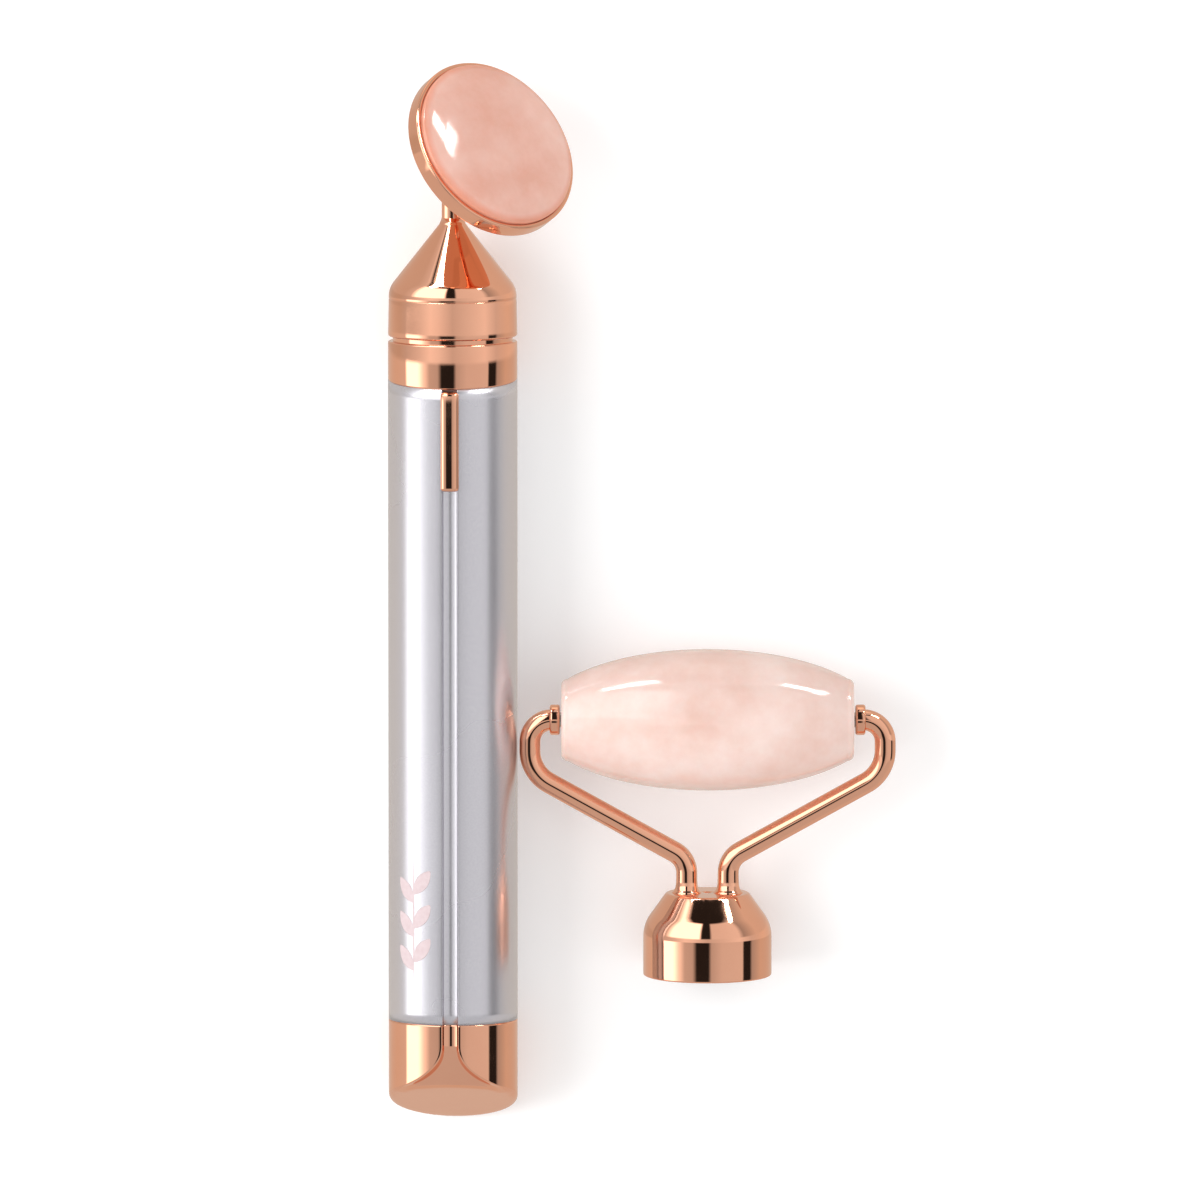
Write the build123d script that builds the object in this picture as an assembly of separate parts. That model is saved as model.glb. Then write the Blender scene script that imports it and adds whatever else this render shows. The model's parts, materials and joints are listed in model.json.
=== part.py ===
from build123d import *
from math import asin, degrees, radians, sqrt, tan
import os

# A vibrating facial massager lying on a table: a battery wand with a round rose quartz
# head, and a spare roller head lying beside the wand. Lengths are in millimetres.
# Wand pieces are made on the Y axis, with y = 15 at the joint of the end cap and +Z
# through the groove. The roller head is made standing on z = 0 with its collar on Z.

# Wand body
tube_radius = 9.5
tube_bore = 8.0
cap_joint_y = 15.0
collar_slant = 5.2
collar_edge_y = 109.35
collar_top_y = 115.0
wand_roll = -2.2
slip = 0.02

# Groove along the front of the wand
groove_width = 2.2
groove_depth = 0.9
groove_floor = tube_radius - groove_depth

# Slanted end cap
end_slant = 22.0
end_low_y = -1.2
end_axis_y = end_low_y + tube_radius * tan(radians(end_slant))
end_edge_round = 1.0
cap_cavity_y = 9.0
flare_start_y = 11.6
flare_half_width = 8.2

# Screwed insert of the cap
insert_radius = 7.85
insert_bore = 6.3
insert_end_y = 22.5
seal_y = 17.2
seal_thickness = 0.9
contact_plate_y = 15.6

# One AA cell and its liner
cell_radius = 7.25
cell_start_y = 24.2
cell_length = 49.5
cell_nub_radius = 2.75
cell_nub_length = 1.0
liner_radius = 7.9
liner_bore = 7.45
liner_start_y = 23.2
liner_end_y = 77.0
spring_wire = 0.6
spring_radius = 3.2
spring_turns = 5

# Switch
bar_start_y = 93.6
bar_end_y = 108.2
bar_width = 2.7
bar_height = 0.95
bar_stem_width = 1.9
bar_lift = 0.12
switch_travel = 3.0
carriage_start_y = 94.0
carriage_end_y = 102.0

# Motor and the spigot that carries the head
spigot_base_y = 104.0
spigot_flange_radius = 8.8
spigot_flange_y = 115.6
spigot_radius = 6.2
spigot_end_y = 124.0
motor_radius = 3.5
motor_start_y = 104.5
motor_end_y = 118.0
shaft_radius = 0.5
shaft_end_y = 122.6
weight_radius = 2.9
weight_start_y = 119.2
weight_end_y = 122.2
spigot_seal_y = 120.4
spigot_groove_radius = 5.2

# Massage head
skirt_start_y = 115.7
skirt_end_y = 122.75
skirt_round = 3.4
cone_tip_y = 132.55
neck_radius = 1.6
neck_corner_y = 138.8
neck_bend = 5.0
socket_bore = 6.25
socket_radius = 7.4
socket_depth = 9.0
disc_center = Vector(5.8, 143.7, 6.76)
disc_normal = Vector(0.546, 0.497, 0.6745)
cup_radius = 13.7
lip_bore = 13.0
stone_radius = 12.95
cup_back_depth = 3.2
lip_height = 1.0
stone_height = 3.3

# Spare roller head
roller_collar_radius = 9.45
roller_collar_height = 12.2
roller_shoulder_height = 7.5
roller_shoulder_round = 5.5
roller_axis_height = 37.8
roller_socket_depth = 8.5
wire_radius = 1.55
fork_root_x = 3.05
fork_root_height = 9.5
fork_knee_height = 17.2
fork_elbow_height = 30.0
fork_half_width = 26.1
knee_bend = 3.5
elbow_bend = 5.5
shoulder_bend = 3.2
wire_end_x = 22.5
wire_slip = 0.06
ferrule_radius = 2.25
ferrule_start_x = 21.7
ferrule_end_x = 23.2
pin_radius = 1.1
pin_start_x = 15.5
stone_half_length = 21.5
stone_belly_radius = 10.4
stone_ellipse_half = 25.3
stone_end_round = 0.8
bush_radius = 2.6
bush_bore = 1.16
bush_length = 7.5

# How the roller head lies: the belly of its stone and the rim of its collar touch the
# table, and the left arm of its fork lies against the wand.
rest_gap = 0.02
beside_gap = 0.25
lying_x = tube_radius + beside_gap + wire_radius + fork_half_width
lying_y = 21.4
lying_pitch = degrees(asin((stone_belly_radius - roller_collar_radius) / roller_axis_height))

# The part's own origin, at the middle of its footprint
origin_x = 27.775
origin_y = 77.6094


def turned(points):
    """Solid of revolution about Y from (radius, y) points."""
    with BuildSketch(Plane.XY) as section:
        with BuildLine():
            Polyline(*points, close=True)
        make_face()
    return revolve(section.sketch, Axis.Y, 360)


def rod(radius, start_y, end_y, x=0.0, z=0.0):
    """Round rod along Y between two stations."""
    middle = (start_y + end_y) / 2
    return Pos(x, middle, z) * Rot(90, 0, 0) * Cylinder(radius, end_y - start_y)


def ring(outer, inner, start_y, end_y):
    """Round tube along Y between two stations."""
    return turned([(inner, start_y), (outer, start_y), (outer, end_y), (inner, end_y)])


def block(x_low, x_high, y_low, y_high, z_low, z_high):
    """Box between two corners."""
    middle = Pos((x_low + x_high) / 2, (y_low + y_high) / 2, (z_low + z_high) / 2)
    return middle * Box(x_high - x_low, y_high - y_low, z_high - z_low)


def on_wand(shape):
    """Wand piece at its place in the part: rolled, and resting on the table."""
    return Pos(-origin_x, -origin_y, tube_radius) * Rot(0, wand_roll, 0) * shape


def on_head(shape):
    """Massage head piece at its place in the part, on the wand's axis."""
    return Pos(-origin_x, -origin_y, tube_radius) * shape


def on_roller(shape):
    """Roller head piece at its lying place in the part."""
    height = roller_collar_radius + rest_gap
    return Pos(lying_x - origin_x, lying_y - origin_y, height) * Rot(-90 + lying_pitch, 0, 0) * shape


def slanted_half(axis_y, angle, keep_above):
    """Large block on one side of a plane that crosses the Y axis at axis_y."""
    size = 80.0
    side = 1 if keep_above else -1
    return Pos(0, axis_y, 0) * Rot(-angle, 0, 0) * Pos(0, side * size / 2, 0) * Box(size, size, size)


def groove_cutter(start_y, end_y):
    """Straight block that cuts the front groove."""
    half = groove_width / 2
    return block(-half, half, start_y, end_y, groove_floor, tube_radius + 1)


def handle_tube():
    """Drawn tube with the front groove and a slot for the switch."""
    over = 3.0
    tube = ring(tube_radius, tube_bore, cap_joint_y, collar_edge_y + over)
    tube -= slanted_half(collar_edge_y, -collar_slant, True)
    tube -= groove_cutter(cap_joint_y - 1, collar_edge_y + over)
    slot_half = 0.7
    slot_start = carriage_start_y + 1.5 - switch_travel - 0.5
    slot_end = carriage_end_y - 1.0
    tube -= block(-slot_half, slot_half, slot_start, slot_end, tube_bore - 1, tube_radius)
    return tube


def top_collar():
    """Plated ring above the tube with a slanted lower edge."""
    under = 3.0
    collar = ring(tube_radius, tube_bore, collar_edge_y - under, collar_top_y)
    collar -= slanted_half(collar_edge_y, -collar_slant, False)
    return collar


def end_cap():
    """Plated cap, cut on a slant, with the groove flaring out into its end face."""
    cap = rod(tube_radius, end_low_y - 1.0, cap_joint_y)
    cap -= slanted_half(end_axis_y, end_slant, False)
    rim = cap.edges().filter_by(GeomType.ELLIPSE)
    cap = fillet(rim, end_edge_round)
    cap -= rod(insert_radius + slip, cap_cavity_y, cap_joint_y + 1)
    cap -= groove_cutter(flare_start_y - 1, cap_joint_y + 1)
    cap -= flare_cutter()
    return cap


def flare_cutter():
    """Trumpet-shaped cut, as deep as the groove, from the groove to the end face."""
    half = groove_width / 2
    with BuildSketch(Plane.XY) as outline:
        with BuildLine():
            right = Spline(
                (half, flare_start_y),
                (2.6, 8.9),
                (flare_half_width, 5.2),
                tangents=((0, -1), (1, -0.42)),
            )
            left = Spline(
                (-half, flare_start_y),
                (-2.6, 8.9),
                (-flare_half_width, 5.2),
                tangents=((0, -1), (-1, -0.42)),
            )
            Line(right @ 0, left @ 0)
            Polyline(right @ 1, (flare_half_width, -4), (-flare_half_width, -4), left @ 1)
        make_face()
    prism = extrude(outline.sketch, tube_radius + 1)
    return prism - rod(groove_floor, -5, cap_joint_y)


def end_cap_insert():
    """Threaded sleeve of the cap, with a groove for its seal."""
    groove_radius = insert_radius - seal_thickness
    groove_half = seal_thickness / 2 + 0.1
    sleeve = turned(
        [
            (0, cap_cavity_y),
            (insert_radius, cap_cavity_y),
            (insert_radius, seal_y - groove_half),
            (groove_radius, seal_y - groove_half),
            (groove_radius, seal_y + groove_half),
            (insert_radius, seal_y + groove_half),
            (insert_radius, insert_end_y),
            (insert_bore, insert_end_y),
            (insert_bore, contact_plate_y),
            (0, contact_plate_y),
        ]
    )
    return sleeve


def seal_ring(middle_radius, thickness, y):
    """O-ring about Y."""
    return Pos(0, y, 0) * Rot(90, 0, 0) * Torus(middle_radius, thickness / 2)


def cap_contact_plate():
    """Round contact plate at the bottom of the cap's sleeve."""
    return rod(insert_bore - 0.1, contact_plate_y, contact_plate_y + 0.4)


def contact_spring():
    """Coil spring between the cap's contact plate and the cell."""
    start = contact_plate_y + 0.4 + spring_wire / 2
    end = cell_start_y - spring_wire / 2 - 0.1
    height = end - start
    coil = Helix(height / spring_turns, height, spring_radius)
    wire = Plane(coil @ 0, z_dir=coil % 0) * Circle(spring_wire / 2)
    spring = sweep(wire, path=coil)
    return Pos(0, start, 0) * Rot(-90, 0, 0) * spring


def battery_can():
    """Steel can of the AA cell."""
    return rod(cell_radius, cell_start_y, cell_start_y + cell_length)


def battery_positive_cap():
    """Positive nub of the AA cell."""
    start = cell_start_y + cell_length
    return rod(cell_nub_radius, start, start + cell_nub_length)


def battery_liner():
    """Thin plastic liner round the cell."""
    return ring(liner_radius, liner_bore, liner_start_y, liner_end_y)


def positive_contact_plate():
    """Contact plate against the cell's nub."""
    start = cell_start_y + cell_length + cell_nub_length
    return rod(liner_bore - 0.1, start, start + 0.4)


def positive_lead_strip():
    """Bent strip from the positive plate up to the circuit board."""
    plate_y = cell_start_y + cell_length + cell_nub_length + 0.4
    upright = block(-1.5, 1.5, plate_y, plate_y + 0.3, -3.0, 1.95)
    foot = block(-1.5, 1.5, plate_y, 81.0, 1.65, 1.95)
    return upright + foot


def circuit_board():
    """Small board under the switch."""
    return block(-5.5, 5.5, 78.0, 103.0, 2.0, 3.0)


def switch_base():
    """Body of the slide switch, with a slot for its knob."""
    base = block(-3.0, 3.0, 91.5, 102.5, 3.0, 5.2)
    base -= block(-1.3, 1.3, 92.2, 101.8, 4.0, 5.4)
    return base


def motor_lead_strips():
    """Two strips from the board to the back of the motor."""
    strips = [block(x - 0.5, x + 0.5, 100.0, motor_start_y - 0.5, 1.6, 1.98) for x in (-1.8, 1.8)]
    return Compound(children=strips)


def slider_bar():
    """Rounded bar over the groove, with a rib that runs in the groove."""
    base = tube_radius + bar_lift
    half = bar_width / 2
    bar = block(-half, half, bar_start_y, bar_end_y, base, base + bar_height)
    bar = fillet(bar.edges().filter_by(Axis.Z), 0.6)
    bar = fillet(bar.faces().sort_by(Axis.Z)[-1].edges(), 0.5)
    half = bar_stem_width / 2
    rib_inset = 1.2
    rib = block(-half, half, bar_start_y + rib_inset, bar_end_y - rib_inset, groove_floor + 0.1, base)
    return bar + rib


def slider_carriage():
    """Inner plate of the switch, with the post through the tube's slot."""
    plate = block(-2.4, 2.4, carriage_start_y, carriage_end_y, 5.7, 7.2)
    post = block(-0.55, 0.55, carriage_start_y + 1.5, carriage_end_y - 1.5, 7.0, groove_floor + 0.1)
    return plate + post


def switch_knob():
    """Knob of the slide switch, under the carriage."""
    return block(-1.0, 1.0, 98.0, 100.0, 4.3, 5.7)


def head_spigot():
    """Hollow spigot that plugs into the tube, holds the motor and carries the head."""
    bore = motor_radius + slip
    chamber = weight_radius + 0.6
    groove_half = 0.6
    return turned(
        [
            (bore, spigot_base_y),
            (tube_bore - slip, spigot_base_y),
            (tube_bore - slip, collar_top_y),
            (spigot_flange_radius, collar_top_y),
            (spigot_flange_radius, spigot_flange_y),
            (spigot_radius, spigot_flange_y),
            (spigot_radius, spigot_seal_y - groove_half),
            (spigot_groove_radius, spigot_seal_y - groove_half),
            (spigot_groove_radius, spigot_seal_y + groove_half),
            (spigot_radius, spigot_seal_y + groove_half),
            (spigot_radius, spigot_end_y),
            (0, spigot_end_y),
            (0, spigot_end_y - 0.9),
            (chamber, spigot_end_y - 0.9),
            (chamber, motor_end_y),
            (bore, motor_end_y),
        ]
    )


def motor_can():
    """Can of the vibration motor, open at its back."""
    wall = 0.4
    nose = 0.6
    return turned(
        [
            (motor_radius - wall, motor_start_y),
            (motor_radius, motor_start_y),
            (motor_radius, motor_end_y),
            (shaft_radius + 0.06, motor_end_y),
            (shaft_radius + 0.06, motor_end_y - nose),
            (motor_radius - wall, motor_end_y - nose),
        ]
    )


def motor_end_plate():
    """Plastic plate that closes the back of the motor."""
    return rod(motor_radius, motor_start_y - 0.5, motor_start_y)


def motor_armature():
    """Wound armature on the motor's shaft."""
    return ring(motor_radius - 0.9, shaft_radius, motor_start_y + 1.5, motor_end_y - 1.6)


def motor_shaft():
    """Steel shaft of the motor."""
    return rod(shaft_radius, motor_start_y + 0.5, shaft_end_y)


def eccentric_weight():
    """Sintered weight, nearly half round, hanging below the shaft."""
    full = ring(weight_radius, shaft_radius, weight_start_y, weight_end_y)
    hub_wall = 0.4
    upper = block(-4, 4, weight_start_y - 1, weight_end_y + 1, shaft_radius + hub_wall, 4)
    return full - upper


def head_cone():
    """Plated skirt and cone of the massage head, hollow for its socket."""
    outline = [
        (socket_radius + slip, skirt_start_y),
        (tube_radius, skirt_start_y),
        (tube_radius, skirt_end_y),
        (neck_radius + 0.05, cone_tip_y),
        (neck_radius + 0.05, skirt_start_y + socket_depth),
        (socket_radius + slip, skirt_start_y + socket_depth),
    ]
    cone = turned(outline)
    corner = cone.edges().filter_by(GeomType.CIRCLE).sort_by(
        lambda edge: abs(edge.center().Y - skirt_end_y) + abs(edge.radius - tube_radius)
    )[0]
    return fillet(corner, skirt_round)


def head_socket_insert():
    """Plastic socket inside the massage head."""
    return ring(socket_radius, socket_bore, skirt_start_y + 0.1, skirt_start_y + socket_depth)


def neck_stem():
    """Bent round neck from the cone to the back of the stone's cup."""
    start = Vector(0, skirt_start_y + socket_depth + 0.2, 0)
    corner = Vector(0, neck_corner_y, 0)
    end = disc_center - disc_normal * cup_back_depth
    path = FilletPolyline(start, corner, end, radius=neck_bend)
    wire = Plane(start, z_dir=(0, 1, 0)) * Circle(neck_radius)
    return sweep(wire, path=path)


def disc_plane():
    """Plane through the middle of the stone disc, facing the stone's front."""
    return Plane(disc_center, z_dir=disc_normal)


def disc_turned(points):
    """Solid of revolution about the disc's normal from (radius, height) points."""
    with BuildSketch(Plane.XZ) as section:
        with BuildLine():
            Polyline(*points, close=True)
        make_face()
    return disc_plane() * revolve(section.sketch, Axis.Z, 360)


def dome_height(radius, edge_height, top_height, rim_radius):
    """Height of a dome, h = edge + (top - edge) * (1 - (r/R)^2)."""
    return edge_height + (top_height - edge_height) * (1 - (radius / rim_radius) ** 2)


def stone_cup():
    """Shallow plated cup round the back and edge of the stone."""
    floor = -0.7
    return disc_turned(
        [
            (0, -cup_back_depth),
            (3.0, -cup_back_depth),
            (9.0, -2.9),
            (12.6, -2.15),
            (cup_radius - 0.35, -1.75),
            (cup_radius, -1.35),
            (cup_radius, lip_height - 0.3),
            (cup_radius - 0.25, lip_height),
            (lip_bore, lip_height),
            (lip_bore, floor),
            (0, floor),
        ]
    )


def stone_bedding():
    """Thin layer of glue under the stone."""
    return disc_turned([(0, -0.7), (stone_radius - 0.6, -0.7), (stone_radius - 0.6, -0.5), (0, -0.5)])


def massage_stone():
    """Flat round stone with a gently domed face."""
    edge = lip_height + 0.45
    steps = 8
    radii = [stone_radius * step / steps for step in range(steps + 1)]
    dome = [(radius, dome_height(radius, edge, stone_height, stone_radius)) for radius in radii]
    with BuildSketch(Plane.XZ) as section:
        with BuildLine():
            Spline(*dome)
            Polyline(dome[-1], (stone_radius, -0.5), (0, -0.5), dome[0])
        make_face()
    return disc_plane() * revolve(section.sketch, Axis.Z, 360)


def roller_head_collar():
    """Plated collar of the roller head, with a socket below and two holes for the fork."""
    outline = [
        (socket_radius + slip, 0),
        (roller_collar_radius, 0),
        (roller_collar_radius, roller_shoulder_height),
        (6.1, roller_collar_height),
        (0, roller_collar_height),
        (0, roller_socket_depth),
        (socket_radius + slip, roller_socket_depth),
    ]
    with BuildSketch(Plane.XZ) as section:
        with BuildLine():
            Polyline(*outline, close=True)
        make_face()
    collar = revolve(section.sketch, Axis.Z, 360)
    circles = collar.edges().filter_by(GeomType.CIRCLE)
    shoulder = circles.sort_by(lambda edge: abs(edge.center().Z - roller_shoulder_height))[0]
    collar = fillet(shoulder, roller_shoulder_round)
    circles = collar.edges().filter_by(GeomType.CIRCLE)
    top = circles.sort_by(lambda edge: abs(edge.center().Z - roller_collar_height))[0]
    collar = fillet(top, 0.6)
    for side in (-1, 1):
        depth = roller_collar_height - fork_root_height + 1
        collar -= Pos(side * fork_root_x, 0, fork_root_height + depth / 2) * Cylinder(
            wire_radius + slip, depth
        )
    return collar


def roller_socket_insert():
    """Plastic socket inside the roller head's collar."""
    middle = Pos(0, 0, 0.1 + (roller_socket_depth - 0.1) / 2)
    length = roller_socket_depth - 0.1
    return middle * (Cylinder(socket_radius, length) - Cylinder(socket_bore, length + 1))


def fork_arm(side):
    """One bent wire arm of the fork, from the collar round to the roller's end."""
    points = [
        Vector(side * fork_root_x, 0, fork_root_height),
        Vector(side * fork_root_x, 0, fork_knee_height),
        Vector(side * fork_half_width, 0, fork_elbow_height),
        Vector(side * fork_half_width, 0, roller_axis_height),
        Vector(side * wire_end_x, 0, roller_axis_height),
    ]
    path = FilletPolyline(*points, radius=[knee_bend, elbow_bend, shoulder_bend])
    section = Plane(points[0], z_dir=(0, 0, 1)) * Circle(wire_radius)
    return sweep(section, path=path)


def across(radius, start_x, end_x):
    """Round rod on the roller's axis between two stations."""
    middle = Pos((start_x + end_x) / 2, 0, roller_axis_height)
    return middle * Rot(0, 90, 0) * Cylinder(radius, abs(end_x - start_x))


def ferrule(side):
    """Turned ferrule that joins an arm to its axle pin."""
    body = across(ferrule_radius, side * ferrule_start_x, side * ferrule_end_x)
    body -= across(wire_radius + wire_slip, side * wire_end_x, side * (ferrule_end_x + 1))
    body -= across(pin_radius + slip, side * (ferrule_start_x - 1), side * ferrule_end_x)
    return body


def axle_pin(side):
    """Short steel axle in one end of the roller."""
    return across(pin_radius, side * pin_start_x, side * wire_end_x)


def roller_bush(side):
    """Plastic bush pressed into one end of the roller."""
    inner = stone_half_length - bush_length
    body = across(bush_radius, side * inner, side * stone_half_length)
    return body - across(bush_bore, side * (inner - 1), side * (stone_half_length + 1))


def roller_stone():
    """Barrel-shaped stone, r = R * sqrt(1 - (x / A)^2), with a bore for its bushes."""
    steps = 12
    stations = [stone_half_length * (2 * step / steps - 1) for step in range(steps + 1)]
    belly = [(x, stone_belly_radius * sqrt(1 - (x / stone_ellipse_half) ** 2)) for x in stations]
    with BuildSketch(Plane.XY) as section:
        with BuildLine():
            Spline(*belly)
            Polyline(belly[-1], (stone_half_length, 0), (-stone_half_length, 0), belly[0])
        make_face()
    stone = revolve(section.sketch, Axis.X, 360)
    ends = stone.edges().filter_by(GeomType.CIRCLE)
    stone = fillet(ends, stone_end_round)
    stone = Pos(0, 0, roller_axis_height) * stone
    return stone - across(bush_radius + slip, -stone_half_length - 1, stone_half_length + 1)


def assembly():
    """Every piece at its place, by name."""
    spigot_seal_radius = (spigot_groove_radius + slip + socket_bore - slip) / 2
    spigot_seal_thickness = socket_bore - spigot_groove_radius - 2 * slip
    pieces = {
        "handle_tube": on_wand(handle_tube()),
        "top_collar": on_wand(top_collar()),
        "head_spigot": on_wand(head_spigot()),
        "battery_liner": on_wand(battery_liner()),
        "battery_can": on_wand(battery_can()),
        "battery_positive_cap": on_wand(battery_positive_cap()),
        "positive_contact_plate": on_wand(positive_contact_plate()),
        "positive_lead_strip": on_wand(positive_lead_strip()),
        "circuit_board": on_wand(circuit_board()),
        "switch_base": on_wand(switch_base()),
        "motor_lead_strips": on_wand(motor_lead_strips()),
        "motor_can": on_wand(motor_can()),
        "motor_end_plate": on_wand(motor_end_plate()),
        "motor_armature": on_head(motor_armature()),
        "motor_shaft": on_head(motor_shaft()),
        "eccentric_weight": on_head(eccentric_weight()),
        "slider_bar": on_wand(slider_bar()),
        "slider_carriage": on_wand(slider_carriage()),
        "switch_knob": on_wand(switch_knob()),
        "end_cap": on_wand(end_cap()),
        "end_cap_insert": on_wand(end_cap_insert()),
        "cap_contact_plate": on_wand(cap_contact_plate()),
        "contact_spring": on_wand(contact_spring()),
        "cap_seal": on_wand(seal_ring(insert_radius - seal_thickness / 2 + slip, seal_thickness, seal_y)),
        "spigot_seal": on_head(seal_ring(spigot_seal_radius, spigot_seal_thickness, spigot_seal_y)),
        "head_cone": on_head(head_cone()),
        "head_socket_insert": on_head(head_socket_insert()),
        "neck_stem": on_head(neck_stem()),
        "stone_cup": on_head(stone_cup()),
        "stone_bedding": on_head(stone_bedding()),
        "massage_stone": on_head(massage_stone()),
        "roller_head_collar": on_roller(roller_head_collar()),
        "roller_socket_insert": on_roller(roller_socket_insert()),
        "roller_stone": on_roller(roller_stone()),
    }
    for name, side in (("left", -1), ("right", 1)):
        pieces["fork_arm_" + name] = on_roller(fork_arm(side))
        pieces["ferrule_" + name] = on_roller(ferrule(side))
        pieces["axle_pin_" + name] = on_roller(axle_pin(side))
        pieces["roller_bush_" + name] = on_roller(roller_bush(side))
    return pieces


def write_parts(pieces):
    """Write one STEP file for each piece."""
    os.makedirs("parts", exist_ok=True)
    for name, shape in pieces.items():
        export_step(shape, "parts/" + name + ".step")


if __name__ == "__main__":
    write_parts(assembly())
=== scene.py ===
import json
import math

import bpy
import numpy as np
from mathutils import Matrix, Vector


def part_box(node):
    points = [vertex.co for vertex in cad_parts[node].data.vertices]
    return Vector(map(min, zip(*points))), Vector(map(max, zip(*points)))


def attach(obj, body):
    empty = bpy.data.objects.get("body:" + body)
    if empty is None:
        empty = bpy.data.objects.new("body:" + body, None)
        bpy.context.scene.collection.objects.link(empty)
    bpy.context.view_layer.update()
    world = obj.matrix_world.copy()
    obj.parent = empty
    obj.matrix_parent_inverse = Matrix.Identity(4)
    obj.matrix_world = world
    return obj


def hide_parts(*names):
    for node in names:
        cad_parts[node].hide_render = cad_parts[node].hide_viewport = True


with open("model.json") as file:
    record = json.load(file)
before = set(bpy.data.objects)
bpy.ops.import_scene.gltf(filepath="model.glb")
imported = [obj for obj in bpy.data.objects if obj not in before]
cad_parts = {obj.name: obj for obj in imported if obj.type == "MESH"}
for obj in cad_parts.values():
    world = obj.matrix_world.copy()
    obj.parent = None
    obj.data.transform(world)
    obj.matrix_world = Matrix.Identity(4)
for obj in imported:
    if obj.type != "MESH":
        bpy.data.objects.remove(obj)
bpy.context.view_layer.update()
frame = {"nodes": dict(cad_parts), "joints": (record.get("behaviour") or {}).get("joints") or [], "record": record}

mm = 0.001


def hexToLinear(code):
    # each sRGB channel c becomes c / 12.92 below 0.04045, else ((c + 0.055) / 1.055) ^ 2.4
    channels = [int(code[i:i + 2], 16) / 255 for i in (0, 2, 4)]
    linear = [c / 12.92 if c <= 0.04045 else ((c + 0.055) / 1.055) ** 2.4 for c in channels]
    return (*linear, 1.0)


def addNode(tree, kind, settings=None, values=None, links=None):
    # one node with its settings, socket values and incoming links
    node = tree.nodes.new(kind)
    for key, value in (settings or {}).items():
        setattr(node, key, value)
    for key, value in (values or {}).items():
        node.inputs[key].default_value = value
    for key, source in (links or {}).items():
        tree.links.new(source, node.inputs[key])
    return node


def closedMesh(name, verts, faces):
    # the faces are turned round where the enclosed volume, the sum of a . (b x c) / 6, is negative
    triangles = np.array([[f[0], f[i], f[i + 1]] for f in faces for i in range(1, len(f) - 1)])
    a, b, c = (verts[triangles[:, k]] for k in range(3))
    if np.einsum("ij,ij->i", a, np.cross(b, c)).sum() < 0:
        faces = [face[::-1] for face in faces]
    mesh = bpy.data.meshes.new(name)
    mesh.from_pydata(verts.tolist(), [], faces)
    mesh.shade_smooth()
    mesh.update()
    piece = bpy.data.objects.new(name, mesh)
    bpy.context.scene.collection.objects.link(piece)
    return piece


def gridPiece(name, grid, wrapRows=False, startPole=None, endPole=None):
    # quads between neighbouring rows and columns; columns always wrap round, rows may,
    # and a pole closes the first or the last row with a fan
    rows, cols = grid.shape[:2]
    rowIds = np.arange(rows if wrapRows else rows - 1)
    r, c = np.meshgrid(rowIds, np.arange(cols), indexing="ij")
    up, right = (r + 1) % rows, (c + 1) % cols
    quads = np.stack([r * cols + c, r * cols + right, up * cols + right, up * cols + c], -1)
    faces = quads.reshape(-1, 4).tolist()
    verts = grid.reshape(-1, 3)
    ring = np.arange(cols)
    for pole, row, turn in ((startPole, 0, -1), (endPole, rows - 1, 1)):
        if pole is not None:
            tip = np.full(cols, len(verts))
            verts = np.vstack([verts, np.asarray(pole)[None, :]])
            fan = np.stack([row * cols + ring, row * cols + (ring + 1) % cols, tip], -1)
            faces += fan[:, ::turn].tolist()
    return closedMesh(name, verts, faces)


def roundedProfile(corners, steps=8):
    # corners are (radius, station, rounding): each corner becomes an arc tangent to both of
    # its sides, drawn as the circle's points between the two touching points
    points = []
    count = len(corners)
    for i in range(count):
        here = np.array(corners[i][:2], float)
        back = np.array(corners[i - 1][:2], float) - here
        ahead = np.array(corners[(i + 1) % count][:2], float) - here
        size = corners[i][2]
        if size <= 0:
            points.append(here[None, :])
            continue
        back, ahead = back / np.linalg.norm(back), ahead / np.linalg.norm(ahead)
        half = math.acos(np.clip(back @ ahead, -1, 1)) / 2
        bisector = (back + ahead) / np.linalg.norm(back + ahead)
        middle = here + bisector * size / math.sin(half)
        first = here + back * size / math.tan(half) - middle
        last = here + ahead * size / math.tan(half) - middle
        t = np.linspace(0, 1, steps + 1)[:, None]
        blend = first * (1 - t) + last * t
        points.append(middle + blend / np.linalg.norm(blend, axis=1, keepdims=True) * size)
    return np.vstack(points)


def denser(profile, longest):
    # extra points on long straight sides of a closed profile, evenly spaced
    following = np.roll(profile, -1, axis=0)
    pieces = []
    for start, end in zip(profile, following):
        count = max(1, int(np.linalg.norm(end - start) / longest))
        t = np.arange(count)[:, None] / count
        pieces.append(start * (1 - t) + end * t)
    return np.vstack(pieces)


def turnedGrid(profile, columns, center, axis, side):
    # point = centre + axis * station + radius * (side * cos a + (axis x side) * sin a)
    axis, side = np.asarray(axis, float), np.asarray(side, float)
    other = np.cross(axis, side)
    a = np.linspace(0, 2 * math.pi, columns, endpoint=False)[None, :, None]
    radius, station = profile[:, 0][:, None, None], profile[:, 1][:, None, None]
    around = side * np.cos(a) + other * np.sin(a)
    return (np.asarray(center, float) + axis * station * mm + around * radius * mm)


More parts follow.
